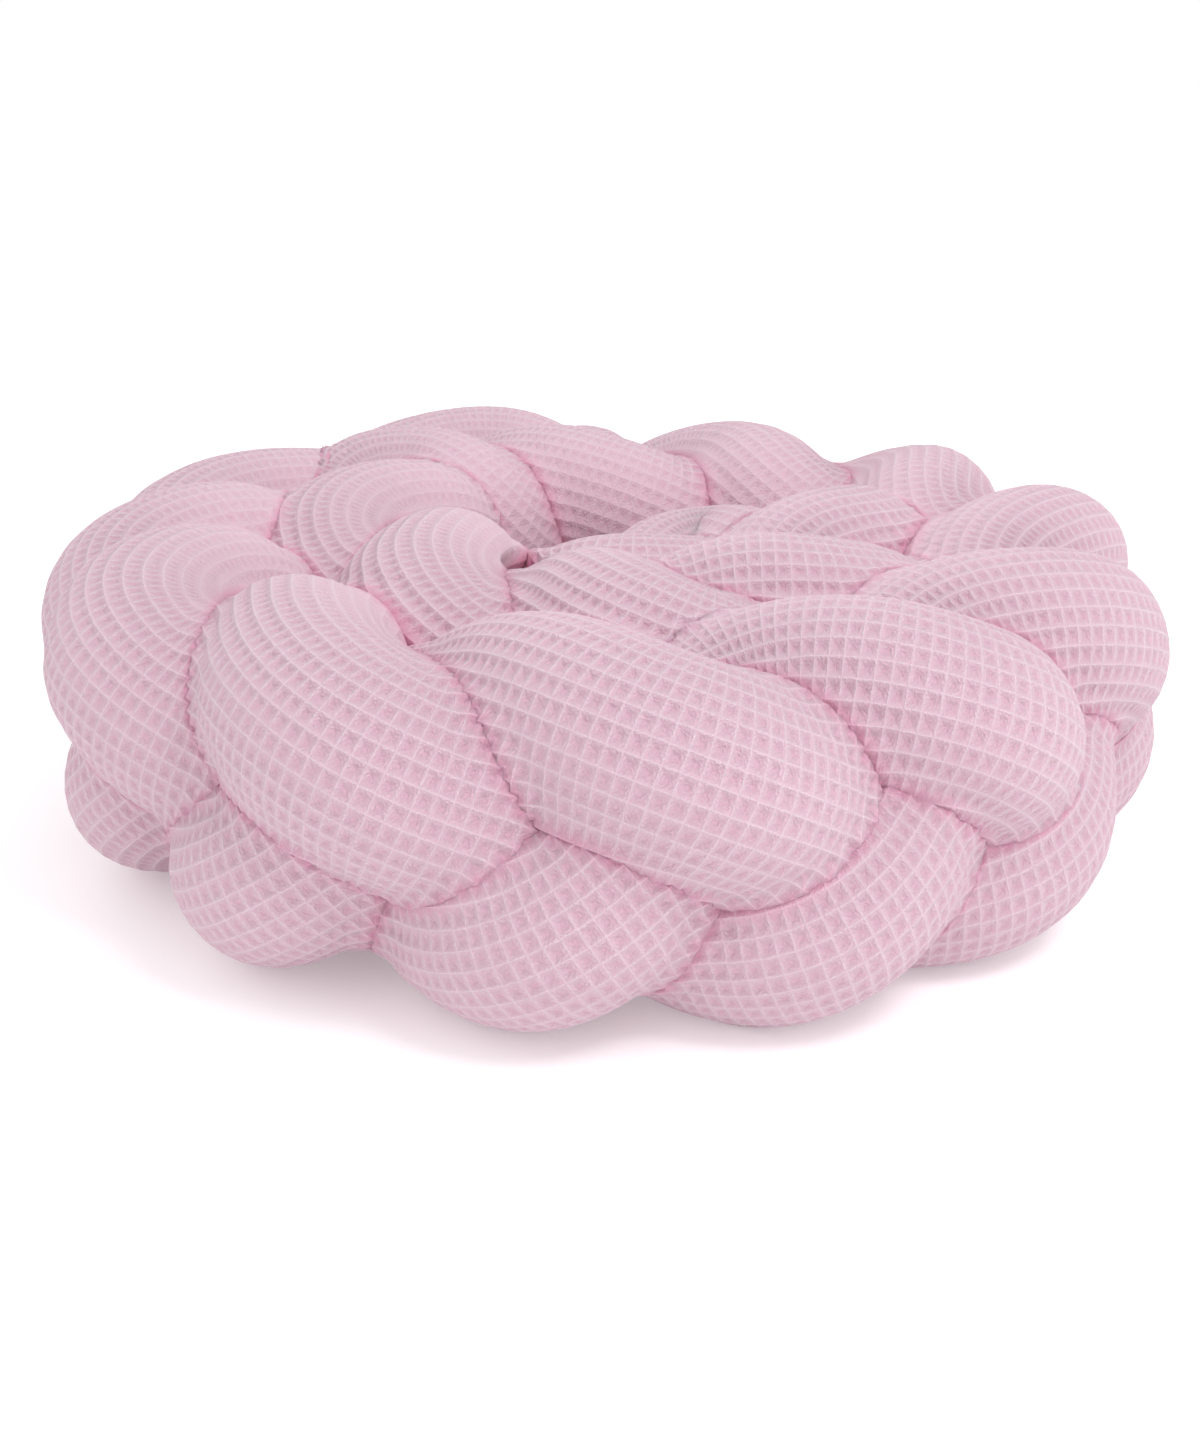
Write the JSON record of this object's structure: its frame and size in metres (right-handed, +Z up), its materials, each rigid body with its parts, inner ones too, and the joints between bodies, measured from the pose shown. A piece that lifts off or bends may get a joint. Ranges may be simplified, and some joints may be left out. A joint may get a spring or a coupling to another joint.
{
  "type": "crib bumper",
  "caption": "Braided cot bumper: stuffed waffle-cotton tubes plaited flat, with the braid standing on edge and coiled inwards.",
  "frame": {"origin": "on the floor, under the middle of the part's box", "axes": "+Z up, the braid's height; the pictured front faces -Y; +X to the right as pictured"},
  "size_m": [0.5731, 0.6483, 0.1752],
  "materials": {
    "strand_1": "pale pink waffle-weave cotton, matt",
    "strand_2": "pale pink waffle-weave cotton, matt",
    "strand_3": "pale pink waffle-weave cotton, matt"
  },
  "bodies": {
    "root": {"strand_1": "strand_1", "strand_2": "strand_2", "strand_3": "strand_3"}
  },
  "joints": []
}
